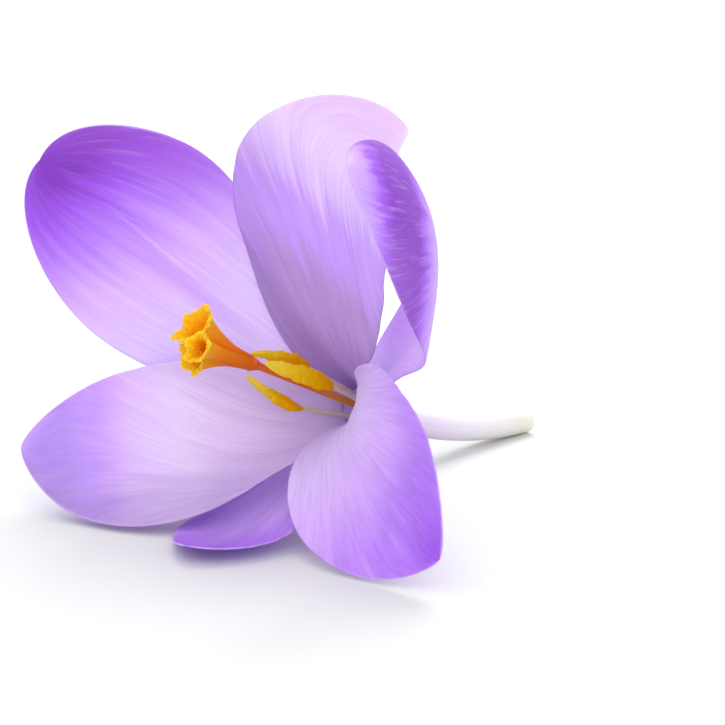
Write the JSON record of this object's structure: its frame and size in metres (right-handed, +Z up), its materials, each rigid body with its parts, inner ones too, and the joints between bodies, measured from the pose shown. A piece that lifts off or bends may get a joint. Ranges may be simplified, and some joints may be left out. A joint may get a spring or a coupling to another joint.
{
  "type": "crocus flower",
  "caption": "Picked crocus bloom lying on a surface: violet cupped tepals in two whorls, pale tube, golden anthers and a frilled orange stigma.",
  "frame": {"origin": "middle of the bloom's outline seen from above, on the surface that the bloom lies on", "axes": "+Z up; the mouth of the bloom faces -Y and a little up; the tube runs back along +Y to its cut end"},
  "size_m": [0.0614, 0.0658, 0.0469],
  "materials": {
    "tepal": "satin",
    "tube": "satin",
    "filament": "satin",
    "anther": "matte",
    "style": "satin",
    "stigma": "satin"
  },
  "bodies": {
    "root": {"tepal_outer_1": "tepal", "tepal_outer_2": "tepal", "tepal_outer_3": "tepal", "tepal_inner_1": "tepal", "tepal_inner_2": "tepal", "tepal_inner_3": "tepal", "perianth_tube": "tube", "style": "style", "stigma_branch_1": "stigma", "stigma_branch_2": "stigma", "stigma_branch_3": "stigma", "filament_1": "filament", "filament_2": "filament", "filament_3": "filament", "anther_1": "anther", "anther_2": "anther", "anther_3": "anther"}
  },
  "joints": []
}
